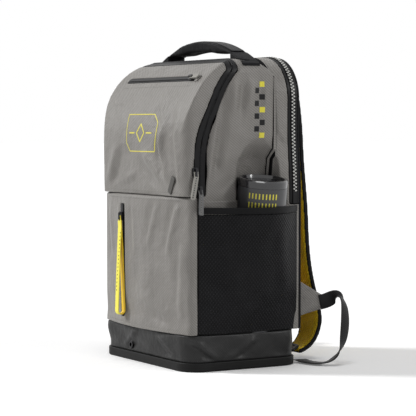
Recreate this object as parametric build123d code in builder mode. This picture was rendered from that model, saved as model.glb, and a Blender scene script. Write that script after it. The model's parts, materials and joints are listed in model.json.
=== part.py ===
"""Racket backpack, about 51 x 30 x 23 cm, modelled panel by panel.

Frame: millimetres, +Z up, -Y is the front, +X is the side with the drinking tumbler.
The origin lies on the face that the bag stands on, in the plane of symmetry of the base.
"""

import os
from math import atan2, copysign, cos, degrees, radians, sin

from build123d import *

# ---------------------------------------------------------------- driving sizes
body_half_width = 150.0  # the bag at its widest
waist_half_width = body_half_width - 4  # behind the side pockets
front_y = -116.0  # outer face of the front flap
main_back_y = 56.0  # rear wall of the main compartment
racket_front_y = 60.0  # front wall of the racket compartment
racket_back_y = 106.0  # where the back panel starts
top_z = 512.0  # top of the main compartment
racket_top_z = 516.0  # top of the racket compartment
wall = 3.0  # padded side and top panels
cloth = 2.0  # single-layer pockets
gap = 0.4  # running clearance between pieces that move
seam = 0.3  # clearance between sewn pieces

base_height = 15.0  # moulded base
base_overhang = 3.0
base_corner = 34.0
skirt_top = 60.0  # coated band above the base
pocket_top = 285.0  # front pocket
mesh_top = 258.0  # side pockets, at the lowest point of the opening
mesh_front_y = -93.5
mesh_back_y = 100.0
shoulder_radius = 28.0  # upper corners seen from the front
waist_end_z = 285.0  # the side panels widen from here
waist_blend_z = 410.0  # and reach full width here
front_corner = 20.0  # upright corners of the front flap, seen from above

front_pocket_bulge = 9.0
front_pocket_corner = 14.0
front_pocket_back_y = -93.0
inner_front_y = -90.0  # wall between the front pocket and the main compartment

tape_width = 22.0  # main zip, both halves
tape_thickness = 1.6
chain_width = 7.0  # a coil chain, both rows

tumbler_radius = 41.0
tumbler_foot_radius = 31.0
tumbler_height = 254.0
tumbler_lean = 8.0  # degrees outwards
tumbler_foot = (body_half_width - 25.4, 26.0, skirt_top + 3.6)
tumbler_wall = 2.0
tumbler_lift = 25.0
rim_height = 13.0

strap_width = 62.0
strap_foam = 6.5
strap_cover = 2.2
strap_centre_x = 84.0
strap_end_width = 40.0
webbing_width = 25.0
webbing_thickness = 1.6
handle_width = 34.0
handle_thickness = 13.0

slider_length = 15.0
slider_width = 11.0
slider_height = 5.6
pull_width = 10.0
pull_thickness = 2.4

os.makedirs("parts", exist_ok=True)


def save(piece, name):
    """Label a finished piece and write it to its own file."""
    piece.label = name
    export_step(piece, f"parts/{name}.step")
    return piece


# ---------------------------------------------------------------- shared outlines
def width_profile(half_width, waist, bottom, top, radius):
    """The bag seen from the front: waisted behind the side pockets, rounded at the shoulders."""
    middle = ((half_width + waist) / 2, (waist_end_z + waist_blend_z) / 2)
    with BuildSketch(Plane.XZ) as profile:
        with BuildLine():
            Polyline((0, top), (0, bottom), (waist, bottom), (waist, waist_end_z))
            arc_chain([(waist, waist_end_z), middle, (half_width, waist_blend_z)], 0)
            Line((half_width, waist_blend_z), (half_width, top - radius))
            TangentArc((half_width, top - radius), (half_width - radius, top), tangent=(0, 1))
            Line((half_width - radius, top), (0, top))
        make_face()
        mirror(about=Plane.YZ)
    return profile.sketch_local


def chain_angles(points, angle):
    """Angles from upright at each point of a chain of arcs that run smoothly into each other."""
    angles = [angle]
    for (x1, y1), (x2, y2) in zip(points, points[1:]):
        angles.append(2 * degrees(atan2(x2 - x1, y2 - y1)) - angles[-1])
    return angles


def arc_chain(points, angle):
    """Arcs through the points, each leaving in the direction in which the last arrived."""
    for start, end, lean in zip(points, points[1:], chain_angles(points, angle)):
        TangentArc(start, end, tangent=(sin(radians(lean)), cos(radians(lean))))


flap_zip_y, flap_zip_z = -76.0, 479.0  # small pocket across the top of the flap
front_curve = [(front_y, 372), (-103, 438), (flap_zip_y, flap_zip_z), (-20, top_z)]
flap_zip_angle = chain_angles(front_curve, 0)[2]


def main_side_profile(bottom):
    """The main compartment seen from the side, with the front rolling back to the top."""
    with BuildSketch(Plane.YZ) as profile:
        with BuildLine():
            Polyline((main_back_y, 478), (main_back_y, bottom), (front_y, bottom), front_curve[0])
            arc_chain(front_curve, 0)
            Line(front_curve[-1], (14, top_z - 4))
            TangentArc((14, top_z - 4), (main_back_y, 478), tangent=(34, -4))
        make_face()
    return profile.sketch_local


def shift_curve(points, shift):
    return [(y + shift, z) for y, z in points]


def grown(outline, amount):
    """The same outline, larger (or smaller) all round."""
    return offset(outline, amount, mode=Mode.PRIVATE) if amount else outline


# The main zip runs up each side and over the top: this is its centre line seen from the side.
zip_line = [(-87, 350), (-74, 408), (-52, 456), (-27, 492)]


def in_front_of(shift, floor_z):
    """Everything in front of the zip line moved back by shift, above floor_z."""
    line = shift_curve(zip_line, shift)
    low, high = (line[0][0], floor_z), (line[-1][0], 560)
    with BuildPart() as region:
        with BuildSketch(Plane.YZ):
            with BuildLine():
                Line(low, line[0])
                arc_chain(line, 0)
                Polyline(line[-1], high, (-200, 560), (-200, floor_z), low)
            make_face()
        extrude(amount=200, both=True)
    return region.part


def main_envelope(inset, bottom=skirt_top + seam):
    """The closed outer form of the main compartment, pulled in all round by inset."""
    with BuildPart() as envelope:
        with BuildSketch(Plane.YZ):
            add(grown(main_side_profile(bottom), -inset))
        extrude(amount=200, both=True)
        with BuildSketch(Plane.XZ):
            outline = width_profile(body_half_width, waist_half_width, bottom, top_z, shoulder_radius)
            add(grown(outline, -inset))
        extrude(amount=300, both=True, mode=Mode.INTERSECT)
        with BuildSketch():
            with Locations((0, front_y + 200)):
                RectangleRounded(
                    2 * (body_half_width + 0.01 - inset), 2 * (200 - inset), front_corner - inset
                )
        extrude(amount=600, mode=Mode.INTERSECT)
    return envelope.part


def box_between(low, high):
    size = [b - a for a, b in zip(low, high)]
    centre = [(a + b) / 2 for a, b in zip(low, high)]
    with BuildPart() as block:
        with Locations(tuple(centre)):
            Box(*size)
    return block.part


# ---------------------------------------------------------------- tumbler space
def tumbler_plane(height=0.0):
    """Plane across the tumbler's leaning axis, height above its foot."""
    lean = radians(tumbler_lean)
    x, y, z = tumbler_foot
    origin = (x + height * sin(lean), y, z + height * cos(lean))
    return Plane(origin=origin, x_dir=(cos(lean), 0, -sin(lean)), z_dir=(sin(lean), 0, cos(lean)))


def tumbler_niche(extra):
    """The hollow that the tumbler presses into the side of the bag, with room for it to be lifted."""
    radius = tumbler_radius + extra
    reach = tumbler_height + tumbler_lift + 2
    fade = 50.0
    with BuildPart() as niche:
        with BuildSketch(tumbler_plane(-12)):
            Circle(radius)
        extrude(amount=reach + 12)
        with Locations(tumbler_plane(reach + fade / 2).location):
            Cone(radius, radius - 30, fade)
    return niche.part


# ---------------------------------------------------------------- main compartment
slip_cloth = 1.6  # slip pocket lying on each side panel
niche_room = 1.2  # between the tumbler and the cloth round it
panel_room = niche_room + slip_cloth + 0.2

outer = main_envelope(0) - tumbler_niche(panel_room)
inner = main_envelope(wall) - tumbler_niche(panel_room + wall)
hull = outer - inner
lower_front = box_between((-200, -200, 0), (200, inner_front_y, pocket_top + 5))
carcass = hull - in_front_of(tape_width / 2, pocket_top + 1) - lower_front
floor_top = skirt_top + seam + wall
back_inside = main_back_y - wall
back_wall = carcass & box_between((-200, back_inside, 0), (200, 100, 600))
carcass = carcass - box_between((-200, back_inside, 0), (200, 100, 600))
floor_panel = carcass & box_between((-200, -200, 0), (200, 100, floor_top))
rim_parts = carcass - box_between((-200, -200, 0), (200, 100, floor_top))
side_split = 70.0  # side panels and top panel meet here
save(back_wall, "main_back_wall")
save(floor_panel, "main_floor")
save(rim_parts & box_between((side_split, -200, 0), (200, 200, 600)), "side_panel_right")
save(rim_parts & box_between((-200, -200, 0), (-side_split, 200, 600)), "side_panel_left")
save(rim_parts & box_between((-side_split, -200, 300), (side_split, 200, 600)), "top_panel")

with BuildPart() as front_wall:
    width = waist_half_width - wall - seam
    height = pocket_top - floor_top - seam
    with Locations((0, inner_front_y + wall / 2, floor_top + seam + height / 2)):
        Box(2 * width, wall, height)
    with Locations(tumbler_plane(150).location):
        Cylinder(tumbler_radius + panel_room + wall + seam, 500, mode=Mode.SUBTRACT)
save(front_wall.part, "main_front_wall")

# ---------------------------------------------------------------- front flap
flap_foot = pocket_top + 1
flap_top_part = main_envelope(0, bottom=200) - main_envelope(wall, bottom=200)
flap = flap_top_part & in_front_of(-tape_width / 2, flap_foot)
flap_zip_half = body_half_width - 34
flap_zip_height = 11.0


def flap_slot(margin, height=flap_zip_height):
    """A window through the flap's cloth where its small zip is let in."""
    half = height / 2 + margin
    normal = (0, -cos(radians(flap_zip_angle)), sin(radians(flap_zip_angle)))
    with BuildPart() as window:
        with BuildSketch(Plane((0, flap_zip_y, flap_zip_z), x_dir=(1, 0, 0), z_dir=normal)):
            Rectangle(2 * (flap_zip_half + margin), 2 * half)
        extrude(amount=20, both=True)
    return window.part


flap = flap - flap_slot(seam)
save(flap, "front_flap")
flap_zone = in_front_of(-tape_width / 2, flap_foot)
flap_tape = (main_envelope(0.6, bottom=200) - main_envelope(2.2, bottom=200)) & flap_slot(0)
save(flap_tape & flap_zone, "flap_zip_tape")
flap_chain = (main_envelope(-0.4, bottom=200) - main_envelope(0.55, bottom=200)) & flap_slot(0, 4)
save(flap_chain & flap_zone, "flap_zip_chain")

# main zip: one half on the flap, one on the bag
tape_shell = main_envelope(0.5, bottom=200) - main_envelope(0.5 + tape_thickness, bottom=200)
front_half = tape_shell & in_front_of(-gap / 2, flap_foot)
save(front_half - in_front_of(-tape_width / 2 + seam, 0), "main_zip_tape_flap")
rear_half = tape_shell & in_front_of(tape_width / 2 - seam, pocket_top + 1)
save(rear_half - in_front_of(gap / 2, 0), "main_zip_tape_bag")

# ---------------------------------------------------------------- front pocket
pocket_zip_x = -56.0
pocket_zip_width = 15.0
pocket_zip_low, pocket_zip_high = 76.0, 268.0


def pocket_plan(inset):
    """The front pocket from above: square shoulders and a full front."""
    half = body_half_width - inset
    shoulder = front_y + 10 + inset
    nose = front_y - front_pocket_bulge + inset
    with BuildSketch() as plan:
        with BuildLine():
            back_y = front_pocket_back_y
            Polyline((-half, shoulder), (-half, back_y), (half, back_y), (half, shoulder))
            ThreePointArc((half, shoulder), (0, nose), (-half, shoulder))
        make_face()
        corners = plan.vertices().group_by(Axis.Y)[0]
        fillet(corners, front_pocket_corner - inset)
    return plan.sketch_local


with BuildPart() as front_pocket:
    with BuildSketch(Plane.XY.offset(skirt_top + seam)):
        add(pocket_plan(0))
    extrude(amount=pocket_top - skirt_top - seam)
    top_face = front_pocket.faces().sort_by(Axis.Z)[-1]
    top_edges = top_face.edges().filter_by(lambda e: e.center().Y < front_y + 8)
    fillet(top_edges, 4)
    with BuildSketch(Plane.XY.offset(skirt_top + seam + cloth)):
        add(pocket_plan(cloth))
    extrude(amount=pocket_top - skirt_top - seam - 2 * cloth - 1, mode=Mode.SUBTRACT)
    with Locations((pocket_zip_x, front_y, (pocket_zip_low + pocket_zip_high) / 2)):
        Box(pocket_zip_width, 30, pocket_zip_high - pocket_zip_low, mode=Mode.SUBTRACT)
save(front_pocket.part, "front_pocket")


def pocket_skin(outset, thickness, half_width, low, high):
    """A strip of the pocket's front surface, for the zip let into it."""
    with BuildPart() as strip:
        with BuildSketch(Plane.XY.offset(low)):
            add(pocket_plan(-outset))
            add(pocket_plan(thickness - outset), mode=Mode.SUBTRACT)
        extrude(amount=high - low)
        with Locations((pocket_zip_x, front_y, (low + high) / 2)):
            Box(2 * half_width, 40, high - low, mode=Mode.INTERSECT)
    return strip.part


half_slot = pocket_zip_width / 2 - seam
zip_ends = (pocket_zip_low + seam, pocket_zip_high - seam)
save(pocket_skin(-0.4, tape_thickness, half_slot, *zip_ends), "pocket_zip_tape")
save(pocket_skin(0.6, 0.9, chain_width / 2, *zip_ends), "pocket_zip_chain")

# ---------------------------------------------------------------- base and shoe compartment
skirt_front_y = front_y + 6
skirt_back_y = racket_back_y - 1


def foot_plan(margin):
    with BuildSketch() as plan:
        middle = (skirt_front_y + skirt_back_y) / 2
        with Locations((0, middle)):
            RectangleRounded(
                2 * (body_half_width + margin),
                skirt_back_y - skirt_front_y + 2 * margin,
                base_corner + margin,
            )
    return plan.sketch_local


with BuildPart() as base:
    with BuildSketch():
        add(foot_plan(base_overhang))
    extrude(amount=base_height)
    fillet(base.faces().sort_by(Axis.Z)[0].edges(), 3)
    fillet(base.faces().sort_by(Axis.Z)[-1].edges(), 1.5)
save(base.part, "base")

skirt_cloth = 2.4
eyelet_x, eyelet_z = -48.0, 26.0
eyelet_hole, eyelet_flange = 3.5, 7.0
with BuildPart() as skirt:
    with BuildSketch(Plane.XY.offset(base_height)):
        add(foot_plan(0))
    extrude(amount=skirt_top - base_height)
    with BuildSketch(Plane.XY.offset(base_height)):
        add(foot_plan(-skirt_cloth))
    extrude(amount=skirt_top - base_height - skirt_cloth, mode=Mode.SUBTRACT)
    with Locations(Location((eyelet_x, skirt_front_y, eyelet_z), (90, 0, 0))):
        Cylinder(eyelet_hole + 1.1, 20, mode=Mode.SUBTRACT)
save(skirt.part, "base_skirt")

with BuildPart() as eyelet:
    with BuildSketch(Plane((eyelet_x, skirt_front_y - 0.05, eyelet_z), x_dir=(1, 0, 0), z_dir=(0, -1, 0))):
        Circle(eyelet_flange)
    extrude(amount=1.2)
    fillet(eyelet.edges().sort_by(Axis.Y)[0], 0.9)
    behind = (eyelet_x, skirt_front_y + skirt_cloth + 1, eyelet_z)
    with BuildSketch(Plane(behind, x_dir=(1, 0, 0), z_dir=(0, -1, 0))):
        Circle(eyelet_hole + 1)
    extrude(amount=skirt_cloth + 1.2)
    with Locations(Location((eyelet_x, skirt_front_y, eyelet_z), (90, 0, 0))):
        Cylinder(eyelet_hole, 20, mode=Mode.SUBTRACT)
save(eyelet.part, "vent_eyelet")

with BuildPart() as base_board:
    with BuildSketch(Plane.XY.offset(base_height)):
        add(foot_plan(-skirt_cloth - 1))
    extrude(amount=2.5)
save(base_board.part, "base_board")

# ---------------------------------------------------------------- racket compartment
racket_half_width = body_half_width - 9  # under the shoulders
racket_waist = body_half_width - 3
racket_shoulder = 70.0
racket_cloth = 2.4
gusset_depth = 26.0
zip_end_z = 271.0  # the racket zip starts and ends behind the side pockets
racket_outline = width_profile(
    racket_half_width, racket_waist, skirt_top + seam, racket_top_z, racket_shoulder
)


def racket_ring(y_from, y_to, outset, inset):
    """A band of the racket compartment's rim, from y_from to y_to."""
    with BuildPart() as ring:
        with BuildSketch(Plane.XZ.offset(-y_from)):
            add(grown(racket_outline, outset))
            add(grown(racket_outline, -inset), mode=Mode.SUBTRACT)
        extrude(amount=-(y_to - y_from))
    return ring.part


def racket_plate(y_from, y_to, inset):
    with BuildPart() as plate:
        with BuildSketch(Plane.XZ.offset(-y_from)):
            add(grown(racket_outline, -inset))
        extrude(amount=-(y_to - y_from))
    return plate.part


above_zip_end = box_between((-200, 0, zip_end_z), (200, 200, 600))
gusset_back = racket_front_y + gusset_depth
racket_inner_y = racket_front_y + racket_cloth
hollow = tumbler_niche(panel_room)
save(racket_plate(racket_front_y, racket_inner_y, 0) - hollow, "racket_front_wall")
gusset_low = racket_ring(gusset_back, racket_back_y, 0, racket_cloth) - above_zip_end
gusset = racket_ring(racket_inner_y, gusset_back, 0, racket_cloth) - hollow
hollow_wall = tumbler_niche(panel_room + racket_cloth) - hollow
hollow_wall = hollow_wall & racket_plate(racket_inner_y, gusset_back, 0)
save(gusset + hollow_wall + gusset_low, "racket_gusset")
chain_front = (gusset_back + racket_back_y - chain_width) / 2
chain_back = chain_front + chain_width
zip_start = box_between((-200, 0, zip_end_z + seam), (200, 200, 600))
tape = racket_ring(gusset_back + 0.1, racket_back_y - 0.1, 0, 0.4 + tape_thickness)
save(tape & zip_start, "racket_zip_tape")
save(racket_ring(chain_front, chain_back, 1.5, -0.1) & zip_start, "racket_zip_chain")

# ---------------------------------------------------------------- back panel
board_thickness = 3.0
board_y = racket_back_y
pad_y = board_y + board_thickness
save(racket_plate(board_y, pad_y, 0), "back_board")

pad_thickness = 9.0


def back_pad(centre_x, width, low, high, corner):
    with BuildPart() as pad:
        with BuildSketch(Plane.XZ.offset(-pad_y)):
            with Locations((centre_x, (low + high) / 2)):
                RectangleRounded(width, high - low, corner)
        extrude(amount=-pad_thickness)
        fillet(pad.faces().sort_by(Axis.Y)[-1].edges(), 4)
    return pad.part


save(back_pad(62, 84, 190, 418, 22) + back_pad(-62, 84, 190, 418, 22), "back_pads")
save(back_pad(0, 208, 84, 176, 26), "lumbar_pad")

yoke_low, yoke_high = 436.0, 496.0
with BuildPart() as yoke:
    with BuildSketch(Plane.XZ.offset(-pad_y)):
        with Locations((0, (yoke_low + yoke_high) / 2)):
            RectangleRounded(236, yoke_high - yoke_low, 20)
    extrude(amount=-2.5)
save(yoke.part, "strap_yoke")

sleeve_thickness = 7.0
with BuildPart() as sleeve:
    with Locations((0, back_inside - 0.3 - sleeve_thickness / 2, floor_top + seam + 135)):
        Box(244, sleeve_thickness, 270)
    fillet(sleeve.edges().filter_by(Axis.Y).group_by(Axis.Z)[-1], 22)
    with Locations((0, back_inside - 0.3 - sleeve_thickness / 2, floor_top + seam + 135 + 4)):
        Box(236, sleeve_thickness - 4, 270, mode=Mode.SUBTRACT)
    with Locations(tumbler_plane(150).location):
        Cylinder(tumbler_radius + panel_room + wall + seam, 500, mode=Mode.SUBTRACT)
save(sleeve.part, "laptop_sleeve")

# ---------------------------------------------------------------- side pockets
mesh_cloth = 1.6
mesh_right_bulge = (9.0, 47.0)  # beyond the sewn edges, at the foot and at the opening
mesh_left_bulge = (5.0, 22.0)
binding_height = 11.0
binding_thickness = 3.4


def mesh_section(height, bulge, thickness, nose_y=tumbler_foot[1]):
    """The pocket cloth from above, sewn down in front and behind, full in the middle."""
    x, x_back = body_half_width + seam + thickness, racket_waist + seam + thickness
    with BuildSketch(Plane.XY.offset(height)) as section:
        with BuildLine():
            Spline(
                (x, mesh_front_y),
                (x + bulge, nose_y),
                (x_back, mesh_back_y),
                tangents=((0.55, 1), (-0.75, 1)),
                tangent_scalars=(0.6, 0.6),
            )
            Line((x_back, mesh_back_y), (x_back - thickness, mesh_back_y))
            Spline(
                (x_back - thickness, mesh_back_y),
                (x + bulge - thickness, nose_y),
                (x - thickness, mesh_front_y),
                tangents=((0.75, -1), (-0.55, -1)),
                tangent_scalars=(0.6, 0.6),
            )
            Line((x - thickness, mesh_front_y), (x, mesh_front_y))
        make_face()
    return section.sketch


def mesh_pocket(bulges):
    with BuildPart() as pocket:
        loft([mesh_section(z, bulge, mesh_cloth) for z, bulge in zip((skirt_top + seam, mesh_top), bulges)])
    return pocket.part


def mesh_binding(bulges):
    with BuildPart() as binding:
        add(mesh_section(mesh_top, bulges[1] + 0.8, binding_thickness))
        extrude(amount=binding_height)
    return binding.part


save(mesh_pocket(mesh_right_bulge), "mesh_pocket_right")
save(mirror(mesh_pocket(mesh_left_bulge), Plane.YZ), "mesh_pocket_left")
save(mesh_binding(mesh_right_bulge), "mesh_binding_right")
save(mirror(mesh_binding(mesh_left_bulge), Plane.YZ), "mesh_binding_left")

slip_top = 279.0
slip_outer = main_envelope(-slip_cloth - 0.1) - tumbler_niche(niche_room)
slip_inner = main_envelope(-0.1) - tumbler_niche(niche_room + slip_cloth + 0.1)
slip_room = box_between((-200, inner_front_y + 2, skirt_top + 1), (200, back_inside - 2, slip_top))
slip = (slip_outer - slip_inner) & slip_room
save(slip & box_between((60, -200, 0), (200, 200, 600)), "slip_pocket_right")
save(slip & box_between((-200, -200, 0), (-60, 200, 600)), "slip_pocket_left")

# ---------------------------------------------------------------- shoulder straps
strap_top = (121.0, 486.0)
strap_curve = [strap_top, (127, 450), (133, 404), (137, 346), (145, 259), (149, 195), (163, 121)]
strap_curve += [(175, 62), (166, 32), (134, 12)]
strap_hinge = (118.0, 484.0)


def strap_face(shift):
    """The strap's curve seen from the side, moved towards the bag by shift along its normal."""
    with BuildLine(mode=Mode.PRIVATE):
        spine = Spline(*strap_curve)
    stations = []
    for step in range(25):
        along = spine % (step / 24)
        place = spine @ (step / 24)
        stations.append((place.X + shift * along.Y, place.Y - shift * along.X))
    return stations


def strap_layer(near, far, width, end_width):
    """One layer of the strap between two depths below its outer face."""
    outside, inside = strap_face(near), strap_face(far)
    with BuildPart() as layer:
        with BuildSketch(Plane.YZ):
            with BuildLine():
                Spline(*outside)
                Line(outside[-1], inside[-1])
                Spline(*inside)
                Line(inside[0], outside[0])
            make_face()
        extrude(amount=200, both=True)
        with BuildSketch(Plane.XZ):
            with BuildLine():
                half, end = width / 2, end_width / 2
                right = [(end, 0), (half, 70), (half, 440), (half - 8, 500)]
                left = [(-x, z) for x, z in reversed(right)]
                Polyline(*right, *left, (end, 0))
            make_face()
        extrude(amount=300, both=True, mode=Mode.INTERSECT)
    return layer.part.moved(Location((strap_centre_x, 0, 0)))


strap_side = 3.0
strap_sides = strap_layer(0, strap_cover + strap_foam - 1, strap_width, strap_end_width)
foam_back = strap_cover + strap_foam
hollow_widths = (strap_width - 2 * strap_side, strap_end_width - 2 * strap_side)
strap_hollow = strap_layer(strap_cover, foam_back, *hollow_widths)
strap_cover_part = strap_sides - strap_hollow
pad_room = 2 * strap_side + 0.2
pad_widths = (strap_width - pad_room, strap_end_width - pad_room)
strap_pad_part = strap_layer(strap_cover + 0.1, foam_back, *pad_widths)
save(strap_cover_part, "strap_cover_right")
save(strap_pad_part, "strap_mesh_right")
save(mirror(strap_cover_part, Plane.YZ), "strap_cover_left")
save(mirror(strap_pad_part, Plane.YZ), "strap_mesh_left")

# ladder buckle under the strap's lower end
buckle_centre = (strap_centre_x, 129.5, 19.1)
with BuildPart() as buckle:
    with BuildSketch(Plane(buckle_centre, x_dir=(1, 0, 0), z_dir=(0, -0.53, 0.85))):
        RectangleRounded(36, 17, 3)
        with Locations((0, 4), (0, -4)):
            Rectangle(27, 3.4, mode=Mode.SUBTRACT)
    extrude(amount=4)
save(buckle.part, "strap_buckle_right")
save(mirror(buckle.part, Plane.YZ), "strap_buckle_left")

# triangular tab sewn into the side of the back panel, and the webbing that comes from it
tab_root, tab_tip = (body_half_width - 15, pad_y), (body_half_width + 2, 156.0)
tab_run = (tab_tip[0] - tab_root[0], tab_tip[1] - tab_root[1])
tab_length = (tab_run[0] ** 2 + tab_run[1] ** 2) ** 0.5
tab_thickness = 3.0
with BuildPart() as tab:
    with BuildSketch(Plane((*tab_root, 0), x_dir=(*tab_run, 0), z_dir=(tab_run[1], -tab_run[0], 0))):
        with BuildLine():
            Polyline((-6, 146), (tab_length, 112), (tab_length, 94), (-6, 77), (-6, 146))
        make_face()
    extrude(amount=tab_thickness / 2, both=True)
    with Locations((tab_root[0], pad_y - 50, 110)):
        Box(100, 100, 200, mode=Mode.SUBTRACT)
save(tab.part, "webbing_tab_right")
save(mirror(tab.part, Plane.YZ), "webbing_tab_left")

# stations: centre, width direction, direction of travel
webbing_path = [
    ((body_half_width + 2.4, 149.5, 103), (0.0, 0.0, 1.0), (0.34, 0.94, 0.0)),
    ((body_half_width + 5, 156.6, 104), (0.0, 0.0, 1.0), (0.34, 0.94, 0.05)),
    ((body_half_width + 9, 162.3, 109), (-0.35, -0.10, 0.93), (0.60, 0.60, 0.50)),
    ((body_half_width + 14, 166.0, 115), (-0.75, -0.10, 0.66), (0.70, 0.45, 0.50)),
    ((body_half_width + 21, 170.0, 119), (-0.95, 0.25, 0.10), (0.25, 0.90, 0.0)),
    ((body_half_width + 28, 173.0, 114), (-0.75, 0.65, -0.10), (0.50, 0.30, -0.80)),
    ((body_half_width + 34, 173.5, 98), (-0.50, 0.86, 0.0), (0.15, 0.05, -1.0)),
    ((body_half_width + 38.5, 171.5, 70), (-0.35, 0.93, 0.05), (0.05, -0.06, -1.0)),
    ((body_half_width + 40, 167.0, 42), (-0.40, 0.90, 0.10), (0.03, -0.25, -1.0)),
    ((body_half_width + 41, 157.0, 19), (-0.75, 0.60, 0.25), (0.0, -0.60, -0.80)),
    ((body_half_width + 39, 143.0, 6), (-0.93, 0.35, 0.0), (-0.25, -0.93, -0.28)),
    ((body_half_width + 30, 132.0, 2.2), (-0.50, 0.86, 0.0), (-0.86, -0.50, -0.03)),
    ((body_half_width, 121.0, 2.0), (-0.28, 0.96, 0.0), (-0.96, -0.28, 0.0)),
    ((124.0, 124.5, 3.6), (0.0, 1.0, 0.0), (-1.0, 0.0, 0.10)),
]


def webbing_section(centre, across, along):
    with BuildSketch(Plane(centre, x_dir=across, z_dir=along)) as section:
        Rectangle(webbing_width, webbing_thickness)
    return section.sketch


with BuildPart() as webbing:
    loft([webbing_section(*station) for station in reversed(webbing_path)], ruled=True)
save(webbing.part, "strap_webbing_right")
save(mirror(webbing.part, Plane.YZ), "strap_webbing_left")

# ---------------------------------------------------------------- top handle
handle_y = 12.0
handle_split_x = body_half_width - 46  # the free part ends here; its sewn ends lie on the shoulders
handle_crown = [(21 - handle_split_x, 531), (0, 543.2), (handle_split_x - 21, 531)]
handle_tip = (body_half_width - 4, 504)
strip_thickness = 1.7


def handle_band(lift, width):
    """Everything under the handle's upper face, from one shoulder of the bag to the other."""
    with BuildPart() as band:
        with BuildSketch(Plane.XZ.offset(-handle_y)):
            with BuildLine():
                left, middle, right = [(x, z + lift) for x, z in handle_crown]
                crown = ThreePointArc(left, middle, right)
                tip_x, tip_z = handle_tip[0], handle_tip[1] + lift
                TangentArc(right, (tip_x, tip_z), tangent=crown % 1)
                TangentArc(left, (-tip_x, tip_z), tangent=(crown % 0) * -1)
                Polyline((tip_x, tip_z), (tip_x, 470), (-tip_x, 470), (-tip_x, tip_z))
            make_face()
        extrude(amount=width / 2, both=True)
    return band.part


free_x = handle_split_x - gap
free_part = box_between((-free_x, -200, 0), (free_x, 200, 600))
with BuildPart() as grip:
    add(handle_band(0, handle_width) & free_part)
    with BuildSketch(Plane.XZ):
        with BuildLine():
            foot_z, crown_z = 519.5, handle_crown[1][1] - handle_thickness
            ThreePointArc((-handle_split_x, foot_z), (0, crown_z), (handle_split_x, foot_z))
            split_x = handle_split_x
            Polyline((split_x, foot_z), (split_x, 400), (-split_x, 400), (-split_x, foot_z))
        make_face()
    extrude(amount=100, both=True, mode=Mode.SUBTRACT)
    fillet(grip.edges().filter_by(GeomType.CIRCLE).filter_by(lambda e: e.length > 100), 2)
save(grip.part, "handle_grip")
strip = (handle_band(0.1 + strip_thickness, webbing_width) - handle_band(0.1, 2 * handle_width)) & free_part
save(strip, "handle_strip")
patches = handle_band(0, handle_width) - main_envelope(-0.1) - box_between(
    (-handle_split_x, -200, 0), (handle_split_x, 200, 600)
)
save(patches, "handle_patches")

# ---------------------------------------------------------------- tumbler
def upright_tumbler(profile_points):
    with BuildPart() as turned:
        with BuildSketch(Plane.XZ):
            with BuildLine():
                Polyline(*profile_points, profile_points[0])
            make_face()
        revolve(axis=Axis.Z)
    return turned.part.moved(tumbler_plane(0).location)


body_top = tumbler_height - rim_height
shoulder = 160.0  # the wall is straight above here
save(
    upright_tumbler(
        [
            (0, 0),
            (tumbler_foot_radius, 0),
            (tumbler_radius, shoulder),
            (tumbler_radius, body_top),
            (tumbler_radius - tumbler_wall, body_top),
            (tumbler_radius - tumbler_wall, shoulder),
            (tumbler_foot_radius - tumbler_wall, tumbler_wall),
            (0, tumbler_wall),
        ]
    ),
    "tumbler_cup",
)
lid_radius = tumbler_radius - tumbler_wall - gap
save(
    upright_tumbler(
        [
            (0, body_top + 2),
            (lid_radius - 4, body_top + 2),
            (lid_radius - 4, body_top - 8),
            (lid_radius, body_top - 8),
            (lid_radius, body_top + gap),
            (tumbler_radius, body_top + gap),
            (tumbler_radius, tumbler_height - 2),
            (tumbler_radius - 2, tumbler_height),
            (tumbler_radius - 5, tumbler_height),
            (tumbler_radius - 7, tumbler_height - 5),
            (0, tumbler_height - 5),
        ]
    ),
    "tumbler_lid",
)

# ---------------------------------------------------------------- zip sliders and pulls
slider_foot = 2.0
bar = 1.6
bar_height = 3.2  # hinge of the pull above the slider's foot
arm_reach = 8.2


def slider_body():
    """A slider lying on its chain: foot on XY, travelling along Y, with a bridge for the pull."""
    with BuildPart() as slider:
        with Locations((0, 0, slider_foot / 2)):
            Box(slider_width, slider_length, slider_foot)
        fillet(slider.edges().filter_by(Axis.Z), 3)
        with Locations((0, 0, slider_height - 0.6)):
            Box(3.2, slider_length - 3, 1.2)
        arch_y = slider_length / 2 - 2.5
        with Locations((0, arch_y, slider_height / 2), (0, -arch_y, slider_height / 2)):
            Box(3.2, 2, slider_height)
    return slider.part


def pull_arms(reach=arm_reach):
    """The bar that turns under the slider's bridge and the two arms beside it."""
    with BuildPart() as arms:
        Box(8, bar, bar)
        with Locations((3.2, -reach / 2 - 0.5, 0), (-3.2, -reach / 2 - 0.5, 0)):
            Box(bar, reach + 1, bar)
    return arms.part


def pull_tab(length, width=pull_width, swing=0.0):
    """A flat pull: hinge along X, tab towards -Y, swung sideways in its own plane."""
    with BuildPart() as pull:
        add(pull_arms())
        with BuildSketch(Plane.XY.offset(-pull_thickness / 2)):
            with Locations((0, 1 - arm_reach)):
                RectangleRounded(width, length, 2.5, rotation=-swing, align=(Align.CENTER, Align.MAX))
        extrude(amount=pull_thickness)
    return pull.part


def side_run(low, high, end, waist):
    """Where the flare of the side is at height low, and the slope of its chord up to high."""
    rise = flare_x(high, end, waist) - flare_x(low, end, waist)
    return flare_x(low, end, waist), degrees(atan2(rise, high - low))


def flare_x(z, end, waist):
    """Half width of the bag at height z, in the flare between waist and full width."""
    half_rise, half_run = (waist_blend_z - waist_end_z) / 2, (end - waist) / 2
    radius = (half_rise**2 + half_run**2) / (2 * abs(half_run))
    side = copysign(1, half_run)
    if z <= waist_end_z:
        return waist
    if z < waist_end_z + half_rise:
        return waist + side * (radius - (radius**2 - (z - waist_end_z) ** 2) ** 0.5)
    return end - side * (radius - (radius**2 - (waist_blend_z - z) ** 2) ** 0.5)


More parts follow.
